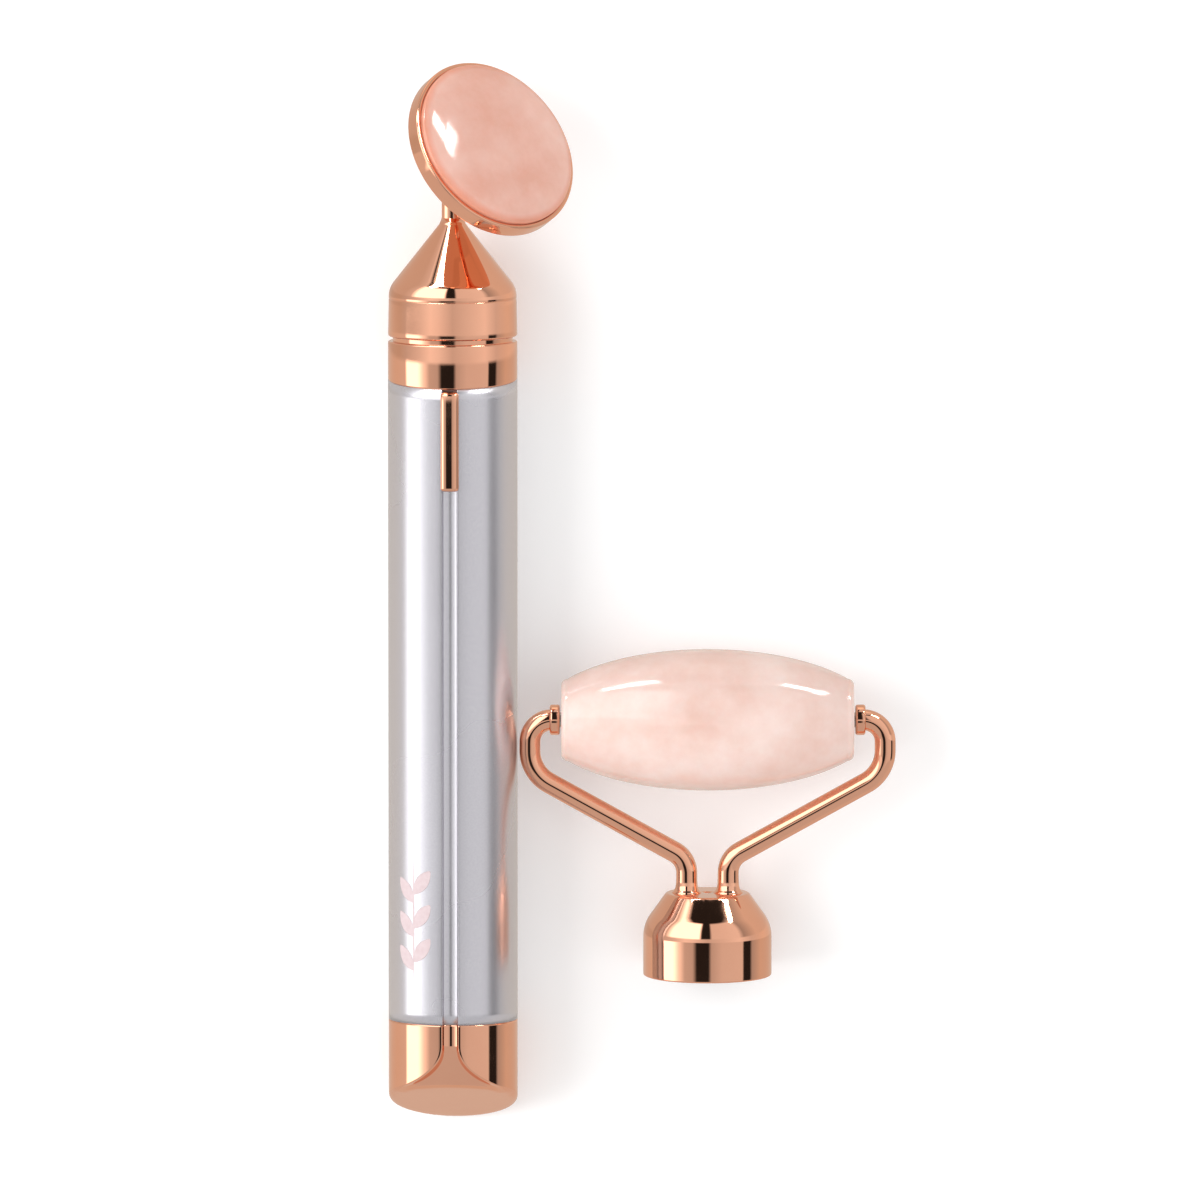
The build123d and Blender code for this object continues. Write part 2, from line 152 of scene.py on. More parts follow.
def filletPath(corners, radii, spacing):
    # straight runs joined by tangent arcs: each arc's centre lies on the corner's bisector
    points = [np.array(corners[0], float)]
    for i in range(1, len(corners) - 1):
        here = np.array(corners[i], float)
        back, ahead = np.array(corners[i - 1]) - here, np.array(corners[i + 1]) - here
        back, ahead = back / np.linalg.norm(back), ahead / np.linalg.norm(ahead)
        half = math.acos(np.clip(back @ ahead, -1, 1)) / 2
        middle = here + (back + ahead) / np.linalg.norm(back + ahead) * radii[i - 1] / math.sin(half)
        first = here + back * radii[i - 1] / math.tan(half) - middle
        last = here + ahead * radii[i - 1] / math.tan(half) - middle
        turn = math.pi - 2 * half
        t = np.linspace(0, 1, 17)[:, None]
        arc = (first * np.sin((1 - t) * turn) + last * np.sin(t * turn)) / math.sin(turn)
        points.extend(middle + arc)
    points.append(np.array(corners[-1], float))
    points = np.array(points)
    length = np.concatenate([[0], np.cumsum(np.linalg.norm(np.diff(points, axis=0), axis=1))])
    stations = np.linspace(0, length[-1], max(4, int(length[-1] / spacing)))
    return np.stack([np.interp(stations, length, points[:, k]) for k in range(3)], -1)


def sweptGrid(path, radii, columns, normal):
    # a circle carried along a flat path: its plane is spanned by the path's fixed normal and
    # by tangent x normal, and its radius may change along the path
    tangent = np.gradient(path, axis=0)
    tangent /= np.linalg.norm(tangent, axis=1, keepdims=True)
    normal = np.asarray(normal, float)
    across = np.cross(tangent, normal)
    across /= np.linalg.norm(across, axis=1, keepdims=True)
    a = np.linspace(0, 2 * math.pi, columns, endpoint=False)[None, :, None]
    radii = np.asarray(radii)[:, None, None]
    return path[:, None, :] + radii * (across[:, None, :] * np.cos(a) + normal * np.sin(a))


joints = {joint["name"]: joint for joint in frame["joints"]}
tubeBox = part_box("handle_tube")
turnPlace = joints["head_turn"]["pos_m"]

wand = {
    "axisX": turnPlace[0],
    "axisZ": turnPlace[2],
    "zeroY": tubeBox[0][1] - 15.0 * mm,  # the end cap's joint is at y = 15
    "roll": math.radians(-2.2),  # the groove sits a little to the left
    "radius": (tubeBox[1][0] - tubeBox[0][0]) / 2 / mm,
}


def wandSpot(x, y, z, rolled=True):
    # wand millimetres to the frame: turned by the roll about the wand's axis, then moved there
    x, y, z = np.broadcast_arrays(x, y, z)
    angle = wand["roll"] if rolled else 0.0
    turnedX = x * math.cos(angle) + z * math.sin(angle)
    turnedZ = -x * math.sin(angle) + z * math.cos(angle)
    return np.stack([
        wand["axisX"] + turnedX * mm,
        wand["zeroY"] + y * mm,
        wand["axisZ"] + turnedZ * mm,
    ], -1)


spinPlace = np.array(joints["roller_spin"]["pos_m"])
mouth = frame["record"]["mounts"][0]
collarAxis = -np.array(mouth["axis"], float)
collarAxis /= np.linalg.norm(collarAxis)

rollerHead = {
    "axisHeight": 37.8,  # from the collar's rim to the roller's axis
    "side": np.array([1.0, 0.0, 0.0]),
}
rollerHead["rim"] = spinPlace - collarAxis * rollerHead["axisHeight"] * mm


def rollerSpot(x, height):
    # point in the fork's plane: rim + side * x + collar axis * height
    return rollerHead["rim"] + rollerHead["side"] * x * mm + collarAxis * height * mm


def newMaterial(name):
    material = bpy.data.materials.new(name)
    material.use_nodes = True
    tree = material.node_tree
    return material, tree, tree.nodes["Principled BSDF"]


roseGold = {
    "light": "F9BC9C", "dark": "F3B090",  # plating varies a little with its thickness
    "clean": 0.03, "smudged": 0.09,  # mirror polish, duller where fingers have been
    "smudgePerMetre": 130.0,  # smudges about 8 mm across
    "hairPerMetre": 2500.0,  # wipe marks 0.4 mm apart, coarser than real ones
}


def roseGoldPlate():
    # rose gold plated and polished zinc: sharp warm reflections, faint smudges
    material, tree, shader = newMaterial("rose_gold_plated_zinc")
    spot = addNode(tree, "ShaderNodeTexCoord").outputs["Object"]
    smudge = addNode(tree, "ShaderNodeTexNoise",
                     values={"Scale": roseGold["smudgePerMetre"], "Detail": 4.0, "Roughness": 0.6},
                     links={"Vector": spot})
    plating = addNode(tree, "ShaderNodeMix", {"data_type": "RGBA"},
                      {6: hexToLinear(roseGold["dark"]), 7: hexToLinear(roseGold["light"])},
                      {0: smudge.outputs["Fac"]})
    dull = addNode(tree, "ShaderNodeMapRange",
                   values={"From Min": 0.45, "From Max": 0.75, "To Min": roseGold["clean"],
                           "To Max": roseGold["smudged"]},
                   links={"Value": smudge.outputs["Fac"]})
    hair = addNode(tree, "ShaderNodeTexNoise", values={"Scale": roseGold["hairPerMetre"]},
                   links={"Vector": spot})
    wipe = addNode(tree, "ShaderNodeBump", values={"Strength": 0.02, "Distance": 0.00002},
                   links={"Height": hair.outputs["Fac"]})
    shader.inputs["Metallic"].default_value = 1.0
    tree.links.new(plating.outputs[2], shader.inputs["Base Color"])
    tree.links.new(dull.outputs["Result"], shader.inputs["Roughness"])
    tree.links.new(wipe.outputs["Normal"], shader.inputs["Normal"])
    return material


pearl = {
    "light": "DDDBE0", "dark": "D2CFD6",  # pearl white over bare metal, slightly cool
    "metal": 0.9,
    "roughLow": 0.24, "roughHigh": 0.30,
    "flakePerMetre": 3500.0,  # flakes 0.3 mm across, coarser than real pearl
    "cloudPerMetre": 40.0,
}


def pearlLacquer():
    # drawn aluminium under satin pearl lacquer: a soft wide sheen along the tube
    material, tree, shader = newMaterial("pearl_lacquered_aluminium")
    spot = addNode(tree, "ShaderNodeTexCoord").outputs["Object"]
    flake = addNode(tree, "ShaderNodeTexNoise", values={"Scale": pearl["flakePerMetre"], "Detail": 1.0},
                    links={"Vector": spot})
    cloud = addNode(tree, "ShaderNodeTexNoise", values={"Scale": pearl["cloudPerMetre"], "Detail": 3.0},
                    links={"Vector": spot})
    colour = addNode(tree, "ShaderNodeMix", {"data_type": "RGBA"},
                     {6: hexToLinear(pearl["dark"]), 7: hexToLinear(pearl["light"])},
                     {0: flake.outputs["Fac"]})
    satin = addNode(tree, "ShaderNodeMapRange",
                    values={"From Min": 0.3, "From Max": 0.7, "To Min": pearl["roughLow"],
                            "To Max": pearl["roughHigh"]},
                    links={"Value": cloud.outputs["Fac"]})
    grain = addNode(tree, "ShaderNodeBump", values={"Strength": 0.05, "Distance": 0.00002},
                    links={"Height": flake.outputs["Fac"]})
    shader.inputs["Metallic"].default_value = pearl["metal"]
    tree.links.new(colour.outputs[2], shader.inputs["Base Color"])
    tree.links.new(satin.outputs["Result"], shader.inputs["Roughness"])
    tree.links.new(grain.outputs["Normal"], shader.inputs["Normal"])
    return material


quartz = {
    "cloudPerMetre": 95.0,  # milky clouds about 10 mm across
    "veinPerMetre": 60.0,
    "milkDepth": 0.003,  # light goes a few millimetres into the stone
}


def roseQuartz(name, deep, milk, vein):
    # polished rose quartz, cut and tumbled: milky clouds and pale veins under a glossy skin
    material, tree, shader = newMaterial(name)
    spot = addNode(tree, "ShaderNodeTexCoord").outputs["Object"]
    cloud = addNode(tree, "ShaderNodeTexNoise",
                    values={"Scale": quartz["cloudPerMetre"], "Detail": 5.0, "Roughness": 0.62},
                    links={"Vector": spot})
    milky = addNode(tree, "ShaderNodeMapRange", values={"From Min": 0.35, "From Max": 0.68},
                    links={"Value": cloud.outputs["Fac"]})
    body = addNode(tree, "ShaderNodeMix", {"data_type": "RGBA"},
                   {6: hexToLinear(deep), 7: hexToLinear(milk)}, {0: milky.outputs["Result"]})
    ridge = addNode(tree, "ShaderNodeTexNoise", {"noise_type": "RIDGED_MULTIFRACTAL"},
                    {"Scale": quartz["veinPerMetre"], "Detail": 4.0}, {"Vector": spot})
    share = addNode(tree, "ShaderNodeMapRange", values={"From Min": 0.75, "From Max": 1.3, "To Max": 0.45},
                    links={"Value": ridge.outputs["Fac"]})
    veined = addNode(tree, "ShaderNodeMix", {"data_type": "RGBA"}, {7: hexToLinear(vein)},
                     {0: share.outputs["Result"], 6: body.outputs[2]})
    skin = addNode(tree, "ShaderNodeBump", values={"Strength": 0.03, "Distance": 0.0001},
                   links={"Height": cloud.outputs["Fac"]})
    tree.links.new(veined.outputs[2], shader.inputs["Base Color"])
    tree.links.new(skin.outputs["Normal"], shader.inputs["Normal"])
    shader.inputs["IOR"].default_value = 1.544
    shader.inputs["Roughness"].default_value = 0.09
    shader.inputs["Subsurface Weight"].default_value = 0.5
    shader.inputs["Subsurface Radius"].default_value = (1.0, 0.55, 0.45)
    shader.inputs["Subsurface Scale"].default_value = quartz["milkDepth"]
    return material, tree, shader, veined


def discQuartzOverPlate():
    # the same stone in its plated cup, with a painted reflection: the gold wall seen through the thin edge
    #  is painted into the colour as a deeper orange tint, by the distance from the disc's centre
    material, tree, shader, veined = roseQuartz("rose_quartz_polished", "E7AE9B", "F2C6B8", "F9DDD3")
    spot = addNode(tree, "ShaderNodeTexCoord").outputs["Object"]
    reach = addNode(tree, "ShaderNodeVectorMath", {"operation": "DISTANCE"},
                    {1: discFrame()[0].tolist()}, {0: spot})
    # painted reflection: the colour turns orange towards the stone's edge, standing in for the gold wall showing
    # through
    rim = addNode(tree, "ShaderNodeMapRange",
                  values={"From Min": 12.0 * mm, "From Max": 13.2 * mm, "To Max": 0.75},
                  links={"Value": reach.outputs["Value"]})
    paintedWallReflection = addNode(tree, "ShaderNodeMix", {"data_type": "RGBA"}, {7: hexToLinear("DC7750")},
                     {0: rim.outputs["Result"], 6: veined.outputs[2]})
    tree.links.new(paintedWallReflection.outputs[2], shader.inputs["Base Color"])
    return material


def moulded(name, light, dark, rough, grainPerMetre=4000.0):
    # injection moulded plastic or rubber: fine even grain, small drift in its gloss
    material, tree, shader = newMaterial(name)
    spot = addNode(tree, "ShaderNodeTexCoord").outputs["Object"]
    grain = addNode(tree, "ShaderNodeTexNoise", values={"Scale": grainPerMetre}, links={"Vector": spot})
    colour = addNode(tree, "ShaderNodeMix", {"data_type": "RGBA"},
                     {6: hexToLinear(dark), 7: hexToLinear(light)}, {0: grain.outputs["Fac"]})
    gloss = addNode(tree, "ShaderNodeMapRange",
                    values={"From Min": 0.3, "From Max": 0.7,
                            "To Min": rough - 0.06, "To Max": rough + 0.06},
                    links={"Value": grain.outputs["Fac"]})
    bump = addNode(tree, "ShaderNodeBump", values={"Strength": 0.15, "Distance": 0.00003},
                   links={"Height": grain.outputs["Fac"]})
    tree.links.new(colour.outputs[2], shader.inputs["Base Color"])
    tree.links.new(gloss.outputs["Result"], shader.inputs["Roughness"])
    tree.links.new(bump.outputs["Normal"], shader.inputs["Normal"])
    return material


def turnedMetal(name, light, dark, rough, ringsPerMetre=3000.0):
    # turned or drawn metal: fine rings along the wand's length
    material, tree, shader = newMaterial(name)
    spot = addNode(tree, "ShaderNodeTexCoord").outputs["Object"]
    squeezed = addNode(tree, "ShaderNodeMapping", values={"Scale": (0.02, 1.0, 0.02)},
                       links={"Vector": spot})
    rings = addNode(tree, "ShaderNodeTexNoise", values={"Scale": ringsPerMetre},
                    links={"Vector": squeezed.outputs["Vector"]})
    colour = addNode(tree, "ShaderNodeMix", {"data_type": "RGBA"},
                     {6: hexToLinear(dark), 7: hexToLinear(light)}, {0: rings.outputs["Fac"]})
    polish = addNode(tree, "ShaderNodeMapRange",
                     values={"From Min": 0.3, "From Max": 0.7,
                             "To Min": rough - 0.05, "To Max": rough + 0.08},
                     links={"Value": rings.outputs["Fac"]})
    bump = addNode(tree, "ShaderNodeBump", values={"Strength": 0.08, "Distance": 0.00002},
                   links={"Height": rings.outputs["Fac"]})
    shader.inputs["Metallic"].default_value = 1.0
    tree.links.new(colour.outputs[2], shader.inputs["Base Color"])
    tree.links.new(polish.outputs["Result"], shader.inputs["Roughness"])
    tree.links.new(bump.outputs["Normal"], shader.inputs["Normal"])
    return material


disc = {
    "middle": (5.8, 143.7, 6.76), "normal": (0.546, 0.497, 0.6745),
    "radius": 13.6, "lip": 12.95, "lipTop": 1.0, "back": -3.2,
    "stone": 12.9, "stoneEdge": 1.45, "stoneTop": 3.2, "columns": 256,
}


def discFrame():
    # centre, normal and one side direction of the disc
    normal = np.array(disc["normal"])
    normal /= np.linalg.norm(normal)
    side = np.cross([0, 0, 1], normal)
    side /= np.linalg.norm(side)
    return wandSpot(*disc["middle"], rolled=False), normal, side


gold = roseGoldPlate()
pearlTube = pearlLacquer()
discQuartz = discQuartzOverPlate()
paleQuartz = roseQuartz("pale_rose_quartz_polished", "E6C4B8", "F0DAD2", "FAF0EC")[0]
blackAbs = moulded("black_abs_moulded", "2A2A2C", "1E1E20", 0.42)
whiteAcetal = moulded("white_acetal_moulded", "E6E4DF", "D9D6D0", 0.38)
siliconeRubber = moulded("silicone_rubber_moulded", "242424", "181818", 0.55)
brass = turnedMetal("turned_brass", "DDB568", "C99B4C", 0.22)
nickelSteel = turnedMetal("nickel_plated_steel", "C9C9C6", "B4B3B0", 0.18)
sintered = turnedMetal("sintered_tungsten_alloy", "8A8A8C", "6C6C70", 0.45)
copperWire = turnedMetal("enamelled_copper_wire", "C8764A", "A4552F", 0.30)
solderMask = moulded("green_solder_mask", "1F6B38", "17552C", 0.30)
cellJacket = moulded("printed_cell_jacket", "34383F", "23262B", 0.30)
epoxy = moulded("cured_epoxy", "E4D8C4", "D4C6AE", 0.20)
print("materials made")


tube = {
    "start": 15.0, "bore": 8.0,
    "grooveHalf": 1.1, "grooveDepth": 0.9, "gutterRise": 0.42,
    "topAxis": 109.35, "topSlant": math.radians(5.2),
    "columns": 180, "rows": 60,
}


def grooveAngles(halfWidth, columns):
    # angles from the groove's middle: dense in the groove and on its walls, even elsewhere
    wall = math.asin(halfWidth / wand["radius"])
    inside = np.linspace(-wall, wall, 25)
    outside = np.linspace(wall, 2 * math.pi - wall, columns)[1:-1]
    edges = np.array([-0.010, -0.005, 0.005, 0.010])
    return np.sort(np.concatenate([inside, outside, wall + edges, -wall + edges])), wall


def grooveRadius(angle, wall, depth):
    # radius = outer - depth * s, where s rises smoothly from 0 to 1 across the groove's wall;
    # the floor is a shallow gutter, floor = (R - depth) + rise * (angle / wall)^2
    wrapped = (angle + math.pi) % (2 * math.pi) - math.pi
    t = np.clip((wall - np.abs(wrapped)) / 0.012 + 0.5, 0, 1)
    s = t * t * (3 - 2 * t)
    floor = wand["radius"] - depth + tube["gutterRise"] * np.clip(wrapped / wall, -1, 1) ** 2
    return wand["radius"] * (1 - s) + floor * s


def makeTube():
    # outer wall from the cap's joint to the slanted top, then back down the bore:
    # x = r sin a, z = r cos a, and the top row ends on y = top - z * tan(slant)
    angle, wall = grooveAngles(tube["grooveHalf"], tube["columns"])
    outer = grooveRadius(angle, wall, tube["grooveDepth"])[None, :]
    bore = np.full_like(outer, tube["bore"])
    t = np.linspace(0, 1, tube["rows"])[:, None]

    def wallGrid(radius, share):
        z = radius * np.cos(angle)[None, :]
        top = tube["topAxis"] - z * math.tan(tube["topSlant"])
        y = tube["start"] + (top - tube["start"]) * share
        return wandSpot(radius * np.sin(angle)[None, :] + 0 * y, y, z + 0 * y)

    grid = np.concatenate([wallGrid(outer, t), wallGrid(bore, t[::-1])])
    piece = gridPiece("tube_shell", grid, wrapRows=True)
    return piece


tubePiece = makeTube()
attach(tubePiece, "handle")
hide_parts("handle_tube")
tubePiece.data.materials.append(pearlTube)
print("handle tube made")

sprig = {
    "low": 20.0, "high": 40.0, "angle": math.radians(-35.0),
    "leafLength": 4.6, "leafHalf": 1.05, "lean": math.radians(38.0), "pairs": 3,
    "stemHalf": 0.16, "ink": 0.012,  # the ink stands 0.012 mm proud
    "firstPair": 3.5, "pairStep": 5.0, "stagger": 0.6,
    "inkPerMetre": 1500.0,  # patches 0.7 mm across, coarser than real ink
}


def printedInk():
    # pad printed rose ink, slightly uneven where it took to the lacquer
    material, tree, shader = newMaterial("pad_printed_rose_ink")
    spot = addNode(tree, "ShaderNodeTexCoord").outputs["Object"]
    take = addNode(tree, "ShaderNodeTexNoise", values={"Scale": sprig["inkPerMetre"], "Detail": 2.0},
                   links={"Vector": spot})
    colour = addNode(tree, "ShaderNodeMix", {"data_type": "RGBA"},
                     {6: hexToLinear("C9B2B4"), 7: hexToLinear("D8C8CA")}, {0: take.outputs["Fac"]})
    tree.links.new(colour.outputs[2], shader.inputs["Base Color"])
    shader.inputs["Roughness"].default_value = 0.45
    return material


def makeInkStroke(name, start, way, length, half):
    # leaf-shaped stroke wrapped on the tube: half width = half * sin(pi u)^0.8 along u, closed
    # round its flat oval section; the tube's angle is the sideways distance over its radius
    u = np.linspace(0.02, 0.98, 24)[:, None]
    v = np.linspace(0, 2 * math.pi, 17)[None, :-1]
    swell = np.sin(math.pi * u) ** 0.8
    across = half * swell * np.cos(v)
    along = u * length + 0 * v
    y = start[1] + along * way[1] + across * way[0]
    wide = start[0] + along * way[0] - across * way[1]
    r = wand["radius"] + sprig["ink"] * (0.5 + 0.5 * np.sin(v)) * swell
    a = sprig["angle"] + wide / wand["radius"]
    grid = wandSpot(r * np.sin(a), y, r * np.cos(a))
    return gridPiece(name, grid, startPole=grid[0].mean(0), endPole=grid[-1].mean(0))


ink = printedInk()
strokes = [makeInkStroke("printed_stem", (0.0, sprig["low"]), (0.0, 1.0), sprig["high"] - sprig["low"],
                         sprig["stemHalf"])]
for pair in range(sprig["pairs"]):
    place = sprig["low"] + sprig["firstPair"] + pair * sprig["pairStep"]
    for side, name in ((-1, "left"), (1, "right")):
        way = (side * math.sin(sprig["lean"]), math.cos(sprig["lean"]))
        leafName = "printed_leaf_" + name + "_" + str(pair)
        root = (0.0, place + side * sprig["stagger"])
        strokes.append(makeInkStroke(leafName, root, way, sprig["leafLength"], sprig["leafHalf"]))
for stroke in strokes:
    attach(stroke, "handle")
    stroke.data.materials.append(ink)
print("printed sprig made")


collar = {"top": 115.0, "bore": 8.0, "edge": 0.25, "columns": 192}


def makeCollar():
    # ring whose lower edge follows y = top of tube - z * tan(slant), with rounded edges
    a = np.linspace(0, 2 * math.pi, collar["columns"], endpoint=False)[None, :]
    outline = roundedProfile([
        (collar["bore"], 0.0, 0), (wand["radius"], 0.0, collar["edge"]),
        (wand["radius"], 1.0, collar["edge"]), (collar["bore"], 1.0, 0)], 5)
    radius, station = outline[:, 0][:, None], outline[:, 1][:, None]
    z = radius * np.cos(a)
    low = tube["topAxis"] - z * math.tan(tube["topSlant"])
    lowPart = np.where(station < 0.5, low + station, collar["top"] - 1.0 + station)
    grid = wandSpot(radius * np.sin(a), lowPart, z)
    return gridPiece("collar_ring", grid, wrapRows=True)


collarPiece = makeCollar()
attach(collarPiece, "handle")
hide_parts("top_collar")
collarPiece.data.materials.append(gold)
print("collar made")


slider = {
    "start": 93.6, "end": 108.2, "halfWidth": 1.35, "height": 0.95, "lift": 0.12,
    "endRound": 0.6, "ribHalf": 0.8, "ribDepth": 0.35, "columns": 40,
}


def makeSliderBar():
    # superellipse section |x / w|^2.6 + (z / h)^2.6 = 1 over a flat foot; near the ends w and h
    # shrink by (1 - (1 - d / e)^2.4)^(1 / 2.4), where d is the distance to the end
    length = slider["end"] - slider["start"]
    near = slider["endRound"]
    t = np.linspace(0.03, 1, 12)
    ends = near * (1 - np.cos(t * math.pi / 2))
    stations = np.concatenate([ends, np.linspace(near, length - near, 12)[1:-1], length - ends[::-1]])
    gap = np.minimum(np.minimum(stations, length - stations) / near, 1)
    share = (1 - (1 - gap) ** 2.4) ** (1 / 2.4)
    width = (slider["halfWidth"] * (0.5 + 0.5 * share))[:, None]
    height = (slider["height"] * share)[:, None]
    arc = np.linspace(0, math.pi, slider["columns"])[None, :]
    foot = np.linspace(-1, 1, 9)[None, 1:-1]
    base = wand["radius"] + slider["lift"]
    across = np.sign(np.cos(arc)) * np.abs(np.cos(arc)) ** (2 / 2.6)
    x = np.concatenate([width * across, width * foot], 1)
    z = np.concatenate([base + height * np.sin(arc) ** (2 / 2.6), base + 0 * width * foot], 1)
    y = np.repeat((slider["start"] + stations)[:, None], x.shape[1], 1)
    grid = wandSpot(x, y, z)
    return gridPiece("slider_bar_cover", grid, startPole=grid[0].mean(0), endPole=grid[-1].mean(0))


def makeSliderRib():
    # straight rib with rounded lower edges that fills the groove under the bar
    half, low = slider["ribHalf"], wand["radius"] - slider["ribDepth"]
    top = wand["radius"] + slider["lift"] + 0.05
    section = roundedProfile([(-half, top, 0), (half, top, 0), (half, low, 0.2), (-half, low, 0.2)], 4)
    stations = np.linspace(slider["start"] + 1.2, slider["end"] - 1.2, 8)[:, None]
    grid = wandSpot(section[:, 0][None, :] + 0 * stations, stations + 0 * section[:, 0][None, :],
                    section[:, 1][None, :] + 0 * stations)
    return gridPiece("slider_bar_rib", grid, startPole=grid[0].mean(0), endPole=grid[-1].mean(0))


for piece in (makeSliderBar(), makeSliderRib()):
    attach(piece, "switch_slider")
    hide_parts("slider_bar")
    piece.data.materials.append(gold)
print("slider made")


cap = {
    "slant": math.radians(22.0), "low": -1.02, "joint": 15.0, "edge": 1.1,
    "floorRadius": 8.6, "flareStart": 11.8, "flareGrowth": 0.09, "flarePower": 2.3, "flareSlope": 0.22,
    "floorColumns": 36, "wallColumns": 9, "backColumns": 150,
    "sideRows": 90, "edgeRows": 9, "faceRows": 10,
    "bore": 7.87, "boreEnd": 9.0,
}


def flareHalfWidth(y):
    # trumpet outline of the flare: half width = groove half + growth * (start - y)^power
    past = np.maximum(cap["flareStart"] - y, 0)
    return tube["grooveHalf"] + cap["flareGrowth"] * past ** cap["flarePower"]


def capColumns(y):
    # angles that follow the flare's outline at each station, and how deep each column lies:
    # 1 on the floor of the flare, 0 on the outside, and a smooth step down the walls
    wall = np.arcsin(np.clip(flareHalfWidth(y) / wand["radius"], 0, 0.88))
    spread = 0.008 + 0.03 * np.clip((cap["flareStart"] - y) / 5.0, 0, 1)
    inside = np.linspace(-1, 1, cap["floorColumns"])[None, :] * (wall - spread)
    steps = np.linspace(-1, 1, cap["wallColumns"] + 2)[None, 1:-1]
    back = np.linspace(0, 1, cap["backColumns"])[None, :]
    outside = wall + spread + back * 2 * (math.pi - wall - spread)
    angle = np.concatenate([inside, wall + steps * spread, outside, 2 * math.pi - wall + steps * spread], 1)
    rise = (1 + steps) / 2
    rise = rise * rise * (3 - 2 * rise) + 0 * wall
    depth = np.concatenate([np.ones_like(inside), 1 - rise, np.zeros_like(outside), rise], 1)
    return angle, depth


def capSide(y):
    # x, z of the side at stations y, one row per station or one station per column:
    # r = R + depth * (floor - R); the floor is a gutter in the groove, and in the flare it falls
    # towards the end and is half way between round and flat
    angle, depth = y[1], y[2]
    wrapped = (angle + math.pi) % (2 * math.pi) - math.pi
    gutter = tube["gutterRise"] * np.clip(wrapped / 0.116, -1, 1) ** 2
    straight = np.clip((y[0] - cap["flareStart"] + 1.5) / 1.5, 0, 1)
    sunk = cap["floorRadius"] - cap["flareSlope"] * np.maximum(cap["flareStart"] - y[0], 0)
    spread = sunk * (0.5 + 0.5 / np.cos(np.clip(wrapped, -0.8, 0.8)))
    floor = spread * (1 - straight) + (sunk + gutter) * straight
    radius = wand["radius"] + depth * (floor - wand["radius"])
    return radius * np.sin(angle), radius * np.cos(angle)


def capRows(y):
    # side points for a full array of stations, one column at a time along the diagonal
    count = y.shape[1]
    pick = np.arange(count)
    angle = np.empty_like(y)
    depth = np.empty_like(y)
    for row in range(y.shape[0]):
        rowAngle, rowDepth = capColumns(y[row][:, None])
        angle[row], depth[row] = rowAngle[pick, pick], rowDepth[pick, pick]
    x, z = capSide((y, angle, depth))
    return x, z


def makeEndCap():
    # each column's end is the station where it meets the slanted plane y = low + (R + z) * tan(slant),
    # found by repeating that formula; the edge is a quadratic curve from side to face
    slope = math.tan(cap["slant"])
    columns = cap["floorColumns"] + 2 * cap["wallColumns"] + cap["backColumns"]
    end = np.full((1, columns), 6.0)
    for _ in range(40):
        x, z = capRows(end)
        end = 0.5 * end + 0.5 * (cap["low"] + (wand["radius"] + z) * slope)
    cornerX, cornerZ = capRows(end)
    corner = np.stack([cornerX[0], end[0], cornerZ[0]], -1)
    t = np.linspace(0, 1, cap["sideRows"])[:, None]
    top = cap["joint"] - 0.15
    y = top + (end + cap["edge"] - top) * t
    x, z = capRows(y)
    side = np.stack([x, y, z], -1)
    lip = side[:1] * np.array([0.985, 1, 0.985])
    lip[..., 1] = cap["joint"]
    inner = lip[0] * np.array([1, 0, 1])
    inner = inner / np.linalg.norm(inner, axis=1, keepdims=True) * cap["bore"]
    boreTop = inner + np.array([0, cap["joint"], 0])
    boreEnd = inner + np.array([0, cap["boreEnd"], 0])
    middle = np.array([0, cap["low"] + wand["radius"] * slope, 0])
    inward = (middle - corner) / np.linalg.norm(middle - corner, axis=1, keepdims=True)
    face = corner + inward * cap["edge"] * 1.1
    bend = np.linspace(0, 1, cap["edgeRows"] + 1)[1:, None, None]
    edge = side[-1] * (1 - bend) ** 2 + corner * 2 * bend * (1 - bend) + face * bend ** 2
    shrink = np.linspace(1, 0, cap["faceRows"] + 1)[1:-1, None, None]
    flat = middle + (face - middle) * shrink
    grid = np.concatenate([boreEnd[None], boreTop[None], lip, side, edge, flat])
    grid = wandSpot(grid[..., 0], grid[..., 1], grid[..., 2])
    boreMiddle = wandSpot(0.0, cap["boreEnd"], 0.0)
    return gridPiece("end_cap_shell", grid, startPole=boreMiddle, endPole=wandSpot(*middle))


capPiece = makeEndCap()
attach(capPiece, "end_cap")
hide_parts("end_cap")
capPiece.data.materials.append(gold)
print("end cap made")


head = {
    "skirt": 115.7, "shoulder": 122.75, "shoulderRound": 3.4, "tip": 132.55,
    "socket": 7.42, "socketEnd": 124.7, "neck": 1.6, "neckCorner": 138.8, "neckBend": 5.0,
    "draft": math.radians(1.2), "seam": 121.2, "seamHalf": 0.09, "columns": 192,
}

wandAxis = np.array([0.0, 1.0, 0.0])
wandUp = np.array([0.0, 0.0, 1.0])


def makeHeadCone():
    # turned shell: skirt, fine seam, rounded shoulder, straight cone to the neck, hollow below
    r = wand["radius"]
    taper = (head["seam"] - head["skirt"]) * math.tan(head["draft"])
    corners = [
        (head["socket"], head["skirt"], 0), (r, head["skirt"], 0.3),
        (r - taper, head["seam"] - head["seamHalf"], 0.04), (r - taper - 0.1, head["seam"], 0),
        (r - taper, head["seam"] + head["seamHalf"], 0.04),
        (r - taper, head["shoulder"], head["shoulderRound"]),
        (head["neck"] + 0.35, head["tip"] - 0.4, 0.5), (head["neck"] + 0.02, head["tip"] + 0.5, 0),
        (head["neck"] + 0.02, head["socketEnd"], 0), (head["socket"], head["socketEnd"], 0)]
    profile = denser(roundedProfile(corners, 10), 0.6)
    grid = turnedGrid(profile, head["columns"], wandSpot(0.0, 0.0, 0.0, False), wandAxis, wandUp)
    return gridPiece("head_cone_shell", grid, wrapRows=True)


